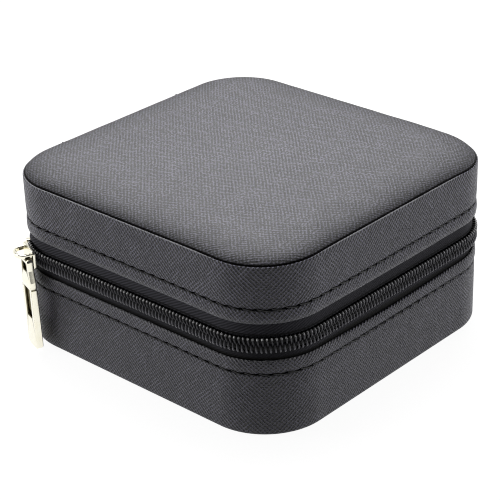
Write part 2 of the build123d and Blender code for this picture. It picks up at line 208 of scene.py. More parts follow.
leatherLook = lengths(
    pitch=0.88, driftSize=10, jitterSize=0.8, tradeSize=5, streakLength=7, turnAt=140.3, turnLength=16,
    patchSize=7, gritSize=0.3, cloudSize=14, depth=0.2) | dict(
    sharpness=1.7, drift=0.8, jitter=0.38, lead=0.9, cross=0.0, patches=0.0, bias=0.10, emboss=1.0,
    level=0.56, grit=1.0, cloud=0.3, contrast=7.5, wearAndPaintedLight=0.75, roughness=0.46, gloss=0.5, bump=1.0,
    valley=colour(0.003, 0.18), ridge=colour(0.245, 0.34), wornRimAndHighlight=colour(0.5, 0.05), seam=colour(0.003, 0.1))
# The base walls take a darker copy of the wall leather, a painted shade for the lower light there, and the
# top a lighter copy with a finer, speckled grain, a painted light from above.
leatherWall = leatherMaterial("crossGrainLeather", leatherLook)
leatherBaseShaded = leatherMaterial("crossGrainLeatherBaseShaded", leatherLook | dict(ridge=colour(0.2, 0.34)))
leatherTopLit = leatherMaterial("crossGrainLeatherTopLit", leatherLook | lengths(
    pitch=0.91, gritSize=0.6, cloudSize=22, streakLength=2.2) | dict(
    valley=colour(0.006, 0.24), ridge=colour(0.2, 0.42), bump=0.65, grit=2.2, jitter=0.5, contrast=5.2,
    emboss=0.85, lead=0.0, cross=0.4, patches=0.45, bias=0.43, gloss=1.0, roughness=0.36, cloud=0.15))
leatherInner = leatherMaterial("smoothInnerLeather", leatherLook | dict(pitch=0.7 * mm, bump=0.4))


def velvetMaterial(look):
    material, g = newMaterial("velvetLining")
    place = ownPlace(g)
    nap = g.noise(place, look["napSize"], 4, 0.6)
    pile = g.noise(place, look["pileSize"], 2, 0.7)
    shade = g.mix(g.clamp((nap - 0.5) * 2.4 + 0.5), look["dark"], look["light"])
    shade = g.mix(pile * 0.5, shade, look["light"])
    sockets = {"Specular IOR Level": 0.1, "Sheen Weight": look["sheen"], "Sheen Roughness": 0.4}
    surface(g, shade, 0.95, sockets, pile, 0.5, look["pileDepth"])
    return material


velvet = velvetMaterial(lengths(napSize=14, pileSize=0.3, pileDepth=0.15) | dict(
    sheen=0.35, dark=colour(0.042, 0.06), light=colour(0.085, 0.06)))


# 1 on the front face, 0 from the middle of its corners on.
def frontFace(g, y):
    return 1 - g.clamp((y + 51.2 * mm) / (3 * mm))


# Woven zip tape: twill ribs that run at a low angle along it.
def tapeMaterial(look):
    material, g = newMaterial("twillTape")
    place = grainPlace(g)
    u, v, _ = g.axes(place)
    lean = radians(look["lean"])
    drift = (g.noise(place, 5 * mm) - 0.5) * 0.3
    ribs = g.wave((u * sin(lean) + v * cos(lean)) / look["pitch"] + drift)
    threads = g.wave((u * cos(lean) - v * sin(lean)) / look["threadPitch"])
    height = ribs * 0.8 + threads * ribs * 0.3
    _, y, z = g.axes(ownPlace(g))
    # Painted shadow: a black band just above the coil and another under the base's rim.
    overCoil = g.clamp(1.5 - g.maths("ABSOLUTE", z - look["shadowAt"]) / look["shadowHalf"])
    underRim = g.clamp((look["rimAt"] - z) / look["rimReach"])
    lower, front = g.clamp((look["shadowAt"] - z) / mm), frontFace(g, y)
    faint = 1 - (lower * (1 - front) + (1 - lower) * front) * 0.75 - g.noise(place, 4 * mm) * 0.4
    shade = g.mix(ribs ** 1.5 * faint + 0.15, look["dark"], look["light"])
    shade = g.mix(g.clamp(overCoil + underRim), shade, look["paintedShadeColour"])
    surface(g, shade, 0.8, {"Specular IOR Level": 0.25}, height, 0.6, 0.1 * mm)
    return material


tape = tapeMaterial(lengths(
    pitch=0.74, threadPitch=0.45, shadowAt=29.6, shadowHalf=0.22, rimAt=23.3, rimReach=0.5) | dict(
    lean=-29, paintedShadeColour=colour(0.002), dark=colour(0.016, 0.2), light=colour(0.11, 0.2)))


def plainMaterial(name, look):
    look = dict(metal=0.0, roughnessSpread=0.1) | look
    material, g = newMaterial(name)
    grain = g.noise(ownPlace(g), look["grainSize"], 3)
    shade = g.mix(grain, look["dark"], look["light"])
    # Painted shade in recesses, where the attribute marks them.
    if "paintedRecessShade" in look:
        shade = g.mix(g.clamp(g.attribute("wearAndPaintedLight")), shade, look["paintedRecessShade"])
    surface(g, shade, look["roughness"] + (grain - 0.5) * look["roughnessSpread"],
            {"Metallic": look["metal"], "Specular IOR Level": 0.5}, grain, look["bump"], 0.05 * mm)
    return material


# Nylon loops, told apart along each strand, with light painted in: a painted shade on the leg, a painted
# glint on the upper row's bend, dimmer on the front face, and a painted reflection on the drop past it.
def coilMaterial(look):
    material, g = newMaterial("coilNylon")
    place = ownPlace(g)
    _, y, z = g.axes(place)
    share = g.attribute("share")
    upper = g.clamp((z - look["middle"]) / (0.2 * mm)) * (1 - frontFace(g, y) * 0.7)
    bend = g.clamp(1.5 - g.maths("ABSOLUTE", share - look["bendAt"]) / look["bendHalf"])
    leg = g.clamp((look["bendAt"] - look["bendHalf"] - share) / 0.05)
    drop = g.clamp((look["dropEnd"] - share) * 2.2) * (1 - leg) * (1 - upper)
    shade = g.mix(g.noise(place, 0.8 * mm), look["dark"], look["light"])
    shade = g.mix(bend * upper, g.mix(drop, shade, look["paintedDropReflection"]), look["paintedGlint"])
    shade = g.mix(leg, shade, look["paintedShadeColour"])
    surface(g, shade, look["dull"] - bend * (look["dull"] - look["shiny"]),
            {"Metallic": leg, "Coat Weight": bend, "Coat Roughness": 0.12, "Specular IOR Level": 0.35})
    return material


coilPlastic = coilMaterial(dict(
    middle=27 * mm, bendAt=0.27, bendHalf=0.08, dropEnd=0.8, dull=0.42, shiny=0.18, paintedGlint=colour(1.0),
    paintedDropReflection=colour(0.42, 0.1), paintedShadeColour=colour(0.004), dark=colour(0.02, 0.1), light=colour(0.075, 0.2)))
coilCord = plainMaterial("coilCord", dict(
    grainSize=0.3 * mm, dark=colour(0.003), light=colour(0.009), roughness=0.85, bump=0.6))
thread = plainMaterial("sewingThread", dict(
    grainSize=0.25 * mm, dark=colour(0.004), light=colour(0.016), roughness=0.6, bump=0.6))
gold = plainMaterial("paleGold", dict(
    grainSize=2.2 * mm, dark=(0.88, 0.84, 0.67, 1), light=(0.98, 0.96, 0.85, 1), paintedRecessShade=(0.16, 0.14, 0.08, 1),
    metal=1.0, roughness=0.13, roughnessSpread=0.08, bump=0.12))
board = plainMaterial("greyBoard", dict(
    grainSize=0.9 * mm, dark=colour(0.24, -0.1), light=colour(0.36, -0.1), roughness=0.9, bump=0.4))


def elasticMaterial(look):
    material, g = newMaterial("elasticKnit")
    x, y, z = g.axes(ownPlace(g))
    knit = g.wave(x / look["wale"]) * g.wave((y + z) / look["course"])
    surface(g, g.mix(knit, look["dark"], look["light"]), 0.9, {"Sheen Weight": 0.2}, knit, 0.6, 0.08 * mm)
    return material


elastic = elasticMaterial(lengths(wale=0.7, course=0.5) | dict(dark=colour(0.022), light=colour(0.06, 0.05)))
print("materials made")


# The case's outline, followed from the middle of the back round by the left side.
wallLow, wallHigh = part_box("base_wall_leather")
lidWallLow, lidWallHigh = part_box("lid_wall_leather")
case = lengths(cornerRadius=18.8, leather=1.0, step=0.55)
halfWidth, halfDepth = wallHigh.x, wallHigh.y
straightX, straightY = halfWidth - case["cornerRadius"], halfDepth - case["cornerRadius"]
quarter = pi / 2 * case["cornerRadius"]
legs = [straightX, quarter, 2 * straightY, quarter, 2 * straightX, quarter, 2 * straightY, quarter, straightX]
perimeter = sum(legs)
legStarts = [sum(legs[:number]) for number in range(len(legs) + 1)]
rearLeft, frontLeft, frontRight, rearRight = (legStarts[number] for number in (1, 3, 5, 7))
frontMiddle = legStarts[4] + straightX


def pathAt(along):
    along = along % perimeter
    leg = max(number for number in range(len(legs)) if legStarts[number] <= along + 1e-12)
    rest, radius = along - legStarts[leg], case["cornerRadius"]
    if leg % 2:
        sideX, sideY = ((-1, 1), (-1, -1), (1, -1), (1, 1))[leg // 2]
        angle = pi / 2 * (1 + leg // 2) + rest / radius
        outX, outY = cos(angle), sin(angle)
        return sideX * straightX + radius * outX, sideY * straightY + radius * outY, outX, outY
    if leg in (0, 8):
        return (-rest if leg == 0 else straightX - rest), halfDepth, 0.0, 1.0
    if leg == 2:
        return -halfWidth, straightY - rest, -1.0, 0.0
    if leg == 4:
        return -straightX + rest, -halfDepth, 0.0, -1.0
    return halfWidth, -straightY + rest, 1.0, 0.0


def stops(start, end, step):
    count = max(2, round((end - start) / step))
    return [start + (end - start) * number / count for number in range(count + 1)]


def hill(along, middle, halfLength):
    away = abs((along - middle + perimeter / 2) % perimeter - perimeter / 2) / halfLength
    return 0.5 + 0.5 * cos(pi * away) if away < 1 else 0.0


def rough(x, y, z):
    return noise.noise(Vector((x, y, z)))


def arc(centre, radius, start, end, count):
    angles = [radians(start + (end - start) * number / count) for number in range(count + 1)]
    return [(centre[0] + radius * cos(angle), centre[1] + radius * sin(angle)) for angle in angles]


def thinned(marks, gap):
    kept = [marks[0]]
    for mark in marks[1:]:
        if mark - kept[-1] > gap:
            kept.append(mark)
    return kept


def addObject(name, data):
    made = bpy.data.objects.new(name, data)
    bpy.context.scene.collection.objects.link(made)
    return made


# The mesh of an object with its modifiers or its curve worked out.
def shapedMesh(source):
    bpy.context.view_layer.update()
    return bpy.data.meshes.new_from_object(source.evaluated_get(bpy.context.evaluated_depsgraph_get()))


def rework(mesh, *steps):
    work = bmesh.new()
    work.from_mesh(mesh)
    for step in steps:
        step(work)
    work.to_mesh(mesh)
    work.free()


def faceOut(work):
    bmesh.ops.recalc_face_normals(work, faces=work.faces)


def mergeDoubles(work):
    bmesh.ops.remove_doubles(work, verts=work.verts, dist=0.002 * mm)


def dress(mesh, material, sharp):
    mesh.shade_smooth()
    mesh.set_sharp_from_angle(angle=radians(sharp))
    mesh.materials.clear()
    mesh.materials.append(material)


def makePiece(name, points, faces, uvs, material, sharp=50, wearAndPaintedLight=None):
    mesh = bpy.data.meshes.new(name)
    mesh.from_pydata(points, [], faces)
    if uvs:
        layer = mesh.uv_layers.new(name="grain")
        layer.data.foreach_set("uv", [number for pair in uvs for number in pair])
    if wearAndPaintedLight:
        mesh.attributes.new("wearAndPaintedLight", "FLOAT", "POINT").data.foreach_set("value", wearAndPaintedLight)
    rework(mesh, faceOut)
    dress(mesh, material, sharp)
    return addObject(name, mesh)


# A net of points in rows, closed round its columns, and round its rows or with a cap at each end.
def lattice(name, rows, uvAt, material, wearAndPaintedLightAt=None, closeRows=False, sharp=50):
    width, count = len(rows[0]), len(rows)
    faces, uvs = [], []
    for row in range(count if closeRows else count - 1):
        following = (row + 1) % count
        for column in range(width):
            other = (column + 1) % width
            faces.append((row * width + column, row * width + other, following * width + other,
                          following * width + column))
            uvs += [uvAt(row + down, column + aside) for down, aside in ((0, 0), (0, 1), (1, 1), (1, 0))]
    if not closeRows:
        for row in (0, count - 1):
            faces.append(tuple(row * width + column for column in range(width)))
            uvs += [uvAt(row, column) for column in range(width)]
    wearAndPaintedLight = [wearAndPaintedLightAt(row, column) for row in range(count) for column in range(width)] if wearAndPaintedLightAt else None
    return makePiece(name, [point for row in rows for point in row], faces, uvs, material, sharp, wearAndPaintedLight)


# How far along a closed line each of its points lies.
def runs(points):
    marks = [0.0]
    for first, second in zip(points, points[1:] + points[:1]):
        marks.append(marks[-1] + dist(first, second))
    return marks


# A section of (outward, height) points carried along the case's outline.
def sweep(name, places, sectionAt, material, wearAndPaintedLightAt=None, closed=False):
    sections = [sectionAt(along) for along in places]
    rows = []
    for along, section in zip(places, sections):
        x, y, outX, outY = pathAt(along)
        rows.append([(x + outX * out, y + outY * out, height) for out, height in section])
    across = runs(sections[0])
    reach = list(places) + [places[0] + perimeter]
    wearAndPaintedLight = (lambda row, column: wearAndPaintedLightAt(*sections[row][column])) if wearAndPaintedLightAt else None
    return lattice(name, rows, lambda row, column: (reach[row], across[column]), material, wearAndPaintedLight, closed)


# Rings of the outline, moved in by an inset or drawn in towards the middle, from the first cap to the last.
def rings(name, profile, count, material, lift=None, wearAndPaintedLightAt=None):
    places = [perimeter * number / count for number in range(count)]
    spans = [0.0]
    for (inset, height, _), (nextInset, nextHeight, _) in zip(profile, profile[1:]):
        spans.append(spans[-1] + hypot(nextInset - inset, nextHeight - height))
    rows, flats = [], []
    for (inset, height, drawn), span in zip(profile, spans):
        laid = profile[-1][0] - (spans[-1] - span)
        row, flat = [], []
        for along in places:
            x0, y0, outX, outY = pathAt(along)
            x, y = (x0 - outX * inset) * (1 - drawn), (y0 - outY * inset) * (1 - drawn)
            row.append((x, y, height + (lift(x, y, along, inset, drawn) if lift else 0.0)))
            flat.append(((x0 - outX * laid) * (1 - drawn), (y0 - outY * laid) * (1 - drawn)))
        rows.append(row)
        flats.append(flat)
    wearAndPaintedLight = (lambda row, column: wearAndPaintedLightAt(profile[row])) if wearAndPaintedLightAt else None
    return lattice(name, rows, lambda row, column: flats[row][column % count], material, wearAndPaintedLight)


def barSection(width, height, lowRound, highRound):
    half = width / 2
    points = arc((-half + lowRound, lowRound), lowRound, 180, 270, 4)
    points += arc((half - lowRound, lowRound), lowRound, 270, 360, 4)
    points += arc((half - highRound, height - highRound), highRound, 0, 90, 8)
    points += arc((-half + highRound, height - highRound), highRound, 90, 180, 8)
    return points


# A piece rides one body, or, when given a bend, only has its placement baked into its mesh.
def show(piece, body, slot, *nodes, bend=None):
    if bend:
        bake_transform(piece)
    else:
        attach(piece, body)
    if nodes:
        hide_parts(*nodes)
    return piece


# Strands repeated along a path: stitches and zip loops.
def strandTree():
    tree = bpy.data.node_groups.new("strandRow", "GeometryNodeTree")
    kinds = {"Path": "Geometry", "Pitch": "Float", "Thickness": "Float", "Side": "Float", "Wobble": "Float",
             "Foot": "Vector", "FootHandle": "Vector", "HeadHandle": "Vector", "Head": "Vector",
             "Finish": "Material"}
    sockets = {}
    for name, kind in kinds.items():
        socket = tree.interface.new_socket(name, in_out="INPUT", socket_type="NodeSocket" + kind)
        sockets[name] = socket.identifier
    tree.interface.new_socket("Row", in_out="OUTPUT", socket_type="NodeSocketGeometry")
    g = Graph(tree)
    given = g.add("NodeGroupInput")
    size = {name: given.beside(name) for name in kinds}
    line = g.add("GeometryNodeMeshToCurve", {"Mesh": size["Path"]})
    spread = g.add("GeometryNodeCurveToPoints", {"Curve": line, "Length": size["Pitch"]}, mode="LENGTH")
    facing = g.add("GeometryNodeInputNamedAttribute", {"Name": "facing"}, data_type="FLOAT_VECTOR")
    heading = g.add("VectorMath", {0: spread.beside("Tangent"), "Scale": size["Side"]}, operation="SCALE")
    align = "FunctionNodeAlignRotationToVector"
    turned = g.add(align, {"Vector": facing}, axis="Z")
    turned = g.add(align, {"Rotation": turned, "Vector": heading}, axis="X", pivot_axis="Z")
    sway = g.add("FunctionNodeRandomValue", {2: -1.0, 3: 1.0, "Seed": 7}, 1, data_type="FLOAT")
    tilt = g.add("CombineXYZ", {"Z": sway * size["Wobble"]})
    turned = g.add("FunctionNodeRotateRotation", {"Rotation": turned, "Rotate By": tilt},
                   rotation_space="LOCAL")
    strand = g.add("GeometryNodeCurvePrimitiveBezierSegment", {
        "Resolution": 8, "Start": size["Foot"], "Start Handle": size["FootHandle"],
        "End Handle": size["HeadHandle"], "End": size["Head"]})
    share = g.add("GeometryNodeSplineParameter")
    strand = g.add("GeometryNodeStoreNamedAttribute", {"Geometry": strand, "Name": "share", "Value": share},
                   data_type="FLOAT", domain="POINT")
    circle = g.add("GeometryNodeCurvePrimitiveCircle", {"Resolution": 6, "Radius": size["Thickness"] * 0.5})
    tube = g.add("GeometryNodeCurveToMesh", {"Curve": strand, "Profile Curve": circle, "Fill Caps": True})
    row = g.add("GeometryNodeInstanceOnPoints", {"Points": spread, "Instance": tube, "Rotation": turned})
    row = g.add("GeometryNodeRealizeInstances", {"Geometry": row})
    row = g.add("GeometryNodeSetMaterial", {"Geometry": row, "Material": size["Finish"]})
    g.add("NodeGroupOutput", {"Row": row})
    return tree, sockets


strandRow, strandSockets = strandTree()


def strands(name, points, facings, sizes, finish):
    mesh = bpy.data.meshes.new(name + "Path")
    mesh.from_pydata(points, [(number, number + 1) for number in range(len(points) - 1)], [])
    mesh.attributes.new("facing", "FLOAT_VECTOR", "POINT").data.foreach_set(
        "vector", [number for facing in facings for number in facing])
    guide = addObject(name + "Path", mesh)
    modifier = guide.modifiers.new("row", "NODES")
    modifier.node_group = strandRow
    for key, value in (sizes | {"Finish": finish}).items():
        modifier[strandSockets[key]] = value
    guide.update_tag()
    made = shapedMesh(guide)
    bpy.data.objects.remove(guide)
    made.name = name
    made.shade_smooth()
    return addObject(name, made)


stitch = lengths(pitch=3.8, length=3.45, thickness=0.46, sink=0.34, rise=0.12)


def stitchSizes(scale=1.0):
    half, rise = stitch["length"] * scale / 2, stitch["rise"]
    return dict(Pitch=stitch["pitch"] * scale, Thickness=stitch["thickness"] * (0.5 + scale / 2), Side=1.0,
                Wobble=0.03, Foot=(-half, 0, -rise), FootHandle=(-half / 2, 0, rise),
                HeadHandle=(half / 2, 0, rise), Head=(half, 0, -rise))


# Leather walls of the two shells, with their sewn groove and turned rim.
wall = lengths(grooveDepth=0.5, grooveWidth=0.27, pull=0.12, pullReach=2, ripple=0.2, wander=0.1, puff=0.16,
               sag=0.75, rimRound=0.42, footRound=0.9, rearDrop=0.7, rightWave=0.6, leftWave=0.45) | dict(
    grooveShade=1.25)
stitchCount = round(perimeter / stitch["pitch"])
stitchBeat = perimeter / stitchCount


def rimSag(along):
    return wall["sag"] * hill(along, frontMiddle, 42 * mm)


def topWave(along):
    return -wall["rightWave"] * hill(along, frontRight + quarter / 2, 26 * mm) - \
        wall["leftWave"] * hill(along, frontLeft + quarter / 2, 24 * mm)


def rimDrop(along):
    return wall["rearDrop"] * min(1.0, 2.2 * hill(along, rearRight + quarter / 2, 115 * mm))


def seamLevel(along, seam):
    return seam + wall["ripple"] * sin(turn * along / stitchBeat)


# The wall's section, with its levels close together round the seam.
def wallShape(low, high, seam, lowRound, highRound, shift):
    near = [-2.4, -1.6, -1.1, -0.8, -0.6, -0.45, -0.3, -0.15, 0, 0.15, 0.3, 0.45, 0.6, 0.8, 1.1, 1.6, 2.4]
    flatLow, flatHigh = low + lowRound, high - highRound
    levels = {seam + offset * mm for offset in near} | set(stops(flatLow, flatHigh, (flatHigh - flatLow) / 9))
    kept = thinned(sorted(level for level in levels if flatLow <= level <= flatHigh), 0.1 * mm)
    rimAt = high if seam - low > high - seam else low
    inner = case["leather"] - highRound

    def section(along):
        beat = cos(turn * along / stitchBeat)
        middle = seamLevel(along, seam) + wall["wander"] * rough(along / (9 * mm), 3.1, low / mm)
        points = [(-case["leather"], low)] + arc((-lowRound, low + lowRound), lowRound, -90, -18, 4)
        for level in kept:
            away = (level - middle) / wall["grooveWidth"]
            out = -wall["grooveDepth"] * (0.85 + 0.15 * beat) * exp(-away * away)
            out -= wall["pull"] * exp(-((level - middle) / wall["pullReach"]) ** 2)
            toRim = (level - seam) / (rimAt - seam)
            if 0 < toRim < 1:
                out += wall["puff"] * sin(pi * toRim) * (1 + 0.2 * beat)
            points.append((out, level))
        points += arc((-highRound, high - highRound), highRound, 18, 90, 4)
        points += arc((-case["leather"] + inner, high - inner), inner, 90, 180, 4)[1:]
        return [(out, level + shift(along, (level - low) / (high - low))) for out, level in points]
    return section


# Rims lightened by wear and a painted highlight, less a painted shade along the sewn groove.
def rimWearHighlightAndGrooveShade(seam, *rims):
    def wearAndPaintedLight(out, height):
        rim = max(max(0.0, 1 - abs(height - rim) / reach) for rim, reach in rims) if out > -0.8 * mm else 0.0
        groove = exp(-((height - seam) / (wall["grooveWidth"] * 1.25)) ** 2) if out > -0.9 * mm else 0.0
        return rim - groove * wall["grooveShade"]
    return wearAndPaintedLight


for body, low, high, rounds, rims in (
        ("base", wallLow.z, wallHigh.z, ("footRound", "rimRound"), ((wallHigh.z, 0.5 * mm),)),
        ("lid", lidWallLow.z, lidWallHigh.z, ("rimRound", "rimRound"),
         ((lidWallLow.z, 0.85 * mm), (lidWallHigh.z, 0.28 * mm)))):
    stitchLow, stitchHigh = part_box(body + "_stitching")
    seam = (stitchLow.z + stitchHigh.z) / 2
    if body == "base":
        def shift(along, share):
            return -rimSag(along) * share ** 1.5
    else:
        def shift(along, share):
            lowSag = 0.3 * rimSag(along) * (1 - share)
            return topWave(along) * share ** 2 - rimDrop(along) * share ** 4 - lowSag
    shape = wallShape(low, high, seam, wall[rounds[0]], wall[rounds[1]], shift)
    places = stops(0, perimeter, case["step"])[:-1]
    leather = leatherBaseShaded if body == "base" else leatherWall
    show(sweep(body + "LeatherWall", places, shape, leather, rimWearHighlightAndGrooveShade(seam, *rims), closed=True),
         body, "leather_wall", body + "_wall_leather")
    points, facings = [], []
    for along in stops(0, perimeter, 0.5 * mm):
        x, y, outX, outY = pathAt(along)
        level = seamLevel(along, seam) + shift(along, (seam - low) / (high - low))
        points.append((x - outX * stitch["sink"], y - outY * stitch["sink"], level))
        facings.append((outX, outY, 0))
    sewn = strands(body + "Stitches", points, facings, stitchSizes() | {"Pitch": stitchBeat * 0.9995}, thread)
    show(sewn, body, "thread", body + "_stitching")
print("leather walls and stitches made")


# Padded top panel, rolled down into the seam.
top = lengths(inset=0.36, roll=0.85, rollLength=0.9, pillow=2.15, pillowLength=7.5, crown=4000, seamRise=0.62,
              seamFade=0.22, rollShadeReach=8, pucker=0.09, puckerLength=6, puckerReach=2.5, dimple=0.14,
              dimpleLength=20, edgeReach=14, skirtIn=6, skirtDepth=1.2) | dict(rollShade=0.78)


def topRise(inset):
    reach = inset - top["inset"]
    return top["roll"] * (1 - exp(-reach / top["rollLength"])) + \
        top["pillow"] * (1 - exp(-reach / top["pillowLength"]))


def topLift(x, y, along, inset, drawn):
    inward = inset - top["inset"] + drawn * halfWidth * 0.75
    edge = exp(-(inward / top["edgeReach"]) ** 2)
    dome = -(x * x + y * y) / (2 * top["crown"]) * (1 - edge)
    pucker = top["pucker"] * rough(along / top["puckerLength"], 0.7, 2.3)
    pucker *= exp(-(inset - top["inset"]) / top["puckerReach"]) if drawn == 0 else 0.0
    soft = top["dimple"] * rough(x / top["dimpleLength"], y / top["dimpleLength"], 5.1)
    dropped = rimDrop(along) * exp(-(inward / top["rollLength"]) ** 2)
    return dome + pucker + soft * (1 - edge) + topWave(along) * edge - dropped


# The skirt stands inside the rim, and above it the panel rolls over into a soft pillow.
rimTop = lidWallHigh.z
profile = [(top["inset"] + top["skirtIn"], rimTop - top["skirtDepth"], 0.0),
           (top["inset"], rimTop - top["skirtDepth"], 0.0), (top["inset"], rimTop - 0.5 * mm, 0.0)]
profile += [(top["inset"] + inward * mm, rimTop + topRise(top["inset"] + inward * mm), 0.0) for inward in (
    0.0, 0.07, 0.14, 0.21, 0.3, 0.4, 0.52, 0.68, 0.88, 1.12, 1.4, 1.8, 2.3, 2.9, 3.7, 4.7, 5.9, 7.3, 9.0,
    11.0, 13.4)]
profile += [(*profile[-1][:2], share) for share in (0.12, 0.24, 0.36, 0.48, 0.6, 0.72, 0.84, 0.93, 0.985)]


# Painted shade: a dark line where the panel meets the rim, and a darker band along the roll near the edge
# where it turns from the light.
def seamShade(ring):
    seamDark = min(1.0, (rimTop + top["seamRise"] - ring[1]) / top["seamFade"])
    rollDark = top["rollShade"] * exp(-(ring[0] - top["inset"]) / top["rollShadeReach"]) * (1 - ring[2])
    return -max(seamDark, rollDark)


topPanel = rings("paddedTopPanel", profile, 420, leatherTopLit, lift=topLift, wearAndPaintedLightAt=seamShade)
show(topPanel, "lid", "leather_top", "lid_top_leather", "lid_foam_pad")

# Bottom panel of the base.
bottomLow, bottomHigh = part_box("base_bottom_leather")
edge = case["leather"] + 0.03 * mm
profile = [(edge, bottomHigh.z, 0.0), (edge, bottomLow.z + 0.5 * mm, 0.0),
           (edge + 0.15 * mm, bottomLow.z + 0.15 * mm, 0.0), (edge + 0.5 * mm, bottomLow.z, 0.0)]
profile += [(edge + 8 * mm, bottomLow.z, share) for share in (0.0, 0.5, 0.97)]
show(rings("bottomPanel", profile, 300, leatherWall), "base", "leather_wall", "base_bottom_leather")
print("top and bottom panels made")


# Zip: tapes, cords and loops.
_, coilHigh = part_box("base_zip_coil")
lidCoilLow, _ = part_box("lid_zip_coil")
zipMiddle = (coilHigh.z + lidCoilLow.z) / 2
zipLook = lengths(
    tapeFace=-1.0, tapeBack=-1.6, openHalf=23.5, loopPitch=1.22, filament=0.56, reach=1.95, crossing=0.34,
    rise=0.31, lean=0.16, cordFace=-0.42, cordNear=0.08, cordFar=1.75, hump=1.3, humpHalf=9, humpLow=30.0,
    humpHigh=33.3, endX=27.4) | dict(startAngle=35.93, sliderAngle=21)
sliderAt, coilStart = (rearLeft + case["cornerRadius"] * radians(90 - zipLook[angle])
                       for angle in ("sliderAngle", "startAngle"))
coilEnd = perimeter - zipLook["endX"]

for body, side in (("base", -1), ("lid", 1)):
    tapeLow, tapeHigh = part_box(body + "_zip_tape")
    low, high = tapeLow.z, tapeHigh.z
    face, back = zipLook["tapeFace"], zipLook["tapeBack"]

    def tapeSection(along):
        hump = zipLook["hump"] * hill(along, sliderAt, zipLook["humpHalf"]) if body == "lid" else 0.0
        points = []
        for share in (0.0, 0.15, 0.25, 0.35, 0.45, 0.55, 0.65, 0.75, 0.85, 0.97):
            level = low + (high - low) * share
            rise = (level - zipLook["humpLow"]) / (zipLook["humpHigh"] - zipLook["humpLow"])
            points.append((face + hump * sin(pi * min(1.0, max(0.0, rise))), level))
        return points + [(face - 0.1 * mm, high), (back, high), (back, low)]
    places = stops(zipLook["openHalf"], perimeter - zipLook["openHalf"], 1.2 * mm)
    show(sweep(body + "ZipTape", places, tapeSection, tape), body, "tape", body + "_zip_tape")

    near, far = zipMiddle + side * zipLook["cordNear"], zipMiddle + side * zipLook["cordFar"]

    def cordSection(along):
        middle, half, front = (near + far) / 2, abs(far - near) / 2, zipLook["cordFace"]
        return [(face, middle - half), (face + 0.3 * mm, middle - half), (front, middle - half * 0.5),
                (front, middle + half * 0.5), (face + 0.3 * mm, middle + half), (face, middle + half)]
    show(sweep(body + "ZipCord", stops(coilStart, coilEnd, 1.0 * mm), cordSection, coilCord), body, "coil")

    points, facings = [], []
    start = coilStart + (zipLook["loopPitch"] / 2 if side > 0 else 0)
    for along in stops(start, coilEnd, 0.6 * mm):
        x, y, outX, outY = pathAt(along)
        points.append((x, y, zipMiddle))
        facings.append((outX, outY, 0))
    lean, rise, reach = zipLook["lean"], zipLook["rise"], zipLook["reach"]
    loops = strands(body + "ZipLoops", points, facings, {
        "Pitch": zipLook["loopPitch"], "Thickness": zipLook["filament"], "Side": float(side), "Wobble": 0.015,
        "Foot": (-lean, reach, -0.8 * mm), "FootHandle": (-lean, reach + 0.55 * mm, rise * 2.9),
        "HeadHandle": (lean, zipLook["crossing"] * 0.8, rise * 0.6),
        "Head": (lean, -zipLook["crossing"], -0.6 * mm)}, coilPlastic)
    show(loops, body, "coil", body + "_zip_coil")
print("zip made")


def joinFlats(work):
    bmesh.ops.dissolve_limit(work, angle_limit=radians(2), verts=work.verts, edges=work.edges)


# Metal pieces: the CAD shape, merged and given a polished edge.
def polished(node, name, body, bevel, *trims):
    mesh = frame["nodes"][node].data.copy()
    rework(mesh, mergeDoubles, *trims, joinFlats)
    piece = addObject(name, mesh)
    shaping = piece.modifiers.new("edge", "BEVEL")
    shaping.width, shaping.segments = bevel, 3
    shaping.limit_method, shaping.angle_limit = "ANGLE", radians(40)
    shaping.use_clamp_overlap = True
    piece.data = shapedMesh(piece)
    piece.modifiers.clear()
    dress(piece.data, gold, 35)
    show(piece, body, "metal", node)


# The slider's own frame: along the zip towards the front, outwards, and up.
joints = {joint["name"]: joint for joint in frame["joints"]}
hangPoint = Vector(joints["pull_swing"]["pos_m"])
forward = -Vector(joints["pull_swing"]["axis"]).normalized()
outward = Vector((0, 0, 1)).cross(forward).normalized()
if outward.x > 0:
    outward = -outward
slider = lengths(edge=0.16, plateTop=1.6, hangOut=2.6, strapHeight=1.25, strapWidth=0.85, strapRound=0.36,
                 loopHalf=3.0, loopReach=5.7, loopRise=0.75, loopBack=-0.1) | dict(loopSquash=0.75)


def aroundSlider(along, out, rise):
    return hangPoint + forward * along + outward * (out - slider["hangOut"]) + Vector((0, 0, rise))


def withoutBail(work):
    far = [vertex for vertex in work.verts
           if (vertex.co - hangPoint).dot(outward) + slider["hangOut"] > slider["plateTop"] + 0.05 * mm]
    bmesh.ops.delete(work, geom=far, context="VERTS")
    bmesh.ops.holes_fill(work, edges=[edge for edge in work.edges if edge.is_boundary], sides=0)


polished("zip_slider", "zipSlider", "slider", slider["edge"], withoutBail)

# Loop that the pull hangs in: a flat strap that stands out from the outer plate, level with the zip.
rows, base = [], barSection(slider["strapWidth"], slider["strapHeight"], *[slider["strapRound"]] * 2)
radius, squash = slider["loopHalf"], slider["loopSquash"]
bend = [(radius, slider["plateTop"] - 0.3 * mm), (radius, 2.4 * mm)]
bend += [(along, slider["loopReach"] - slider["strapWidth"] / 2 - radius * squash + out * squash)
         for along, out in arc((0, 0), radius, 0, 180, 20)]
bend += [(-along, out) for along, out in reversed(bend[:2])]
for number, (along, out) in enumerate(bend):
    before, after = bend[max(0, number - 1)], bend[min(len(bend) - 1, number + 1)]
    heading = Vector((after[0] - before[0], after[1] - before[1])).normalized()
    side = Vector((heading.y, -heading.x))
    rows.append([tuple(aroundSlider(
        along + side.x * wide + slider["loopBack"], out + side.y * wide,
        slider["loopRise"] + high - slider["strapHeight"] / 2)) for wide, high in base])
loop = lattice("pullLoop", rows, lambda row, column: (row * mm, column * mm), gold, sharp=60)
show(loop, "pull", "metal")


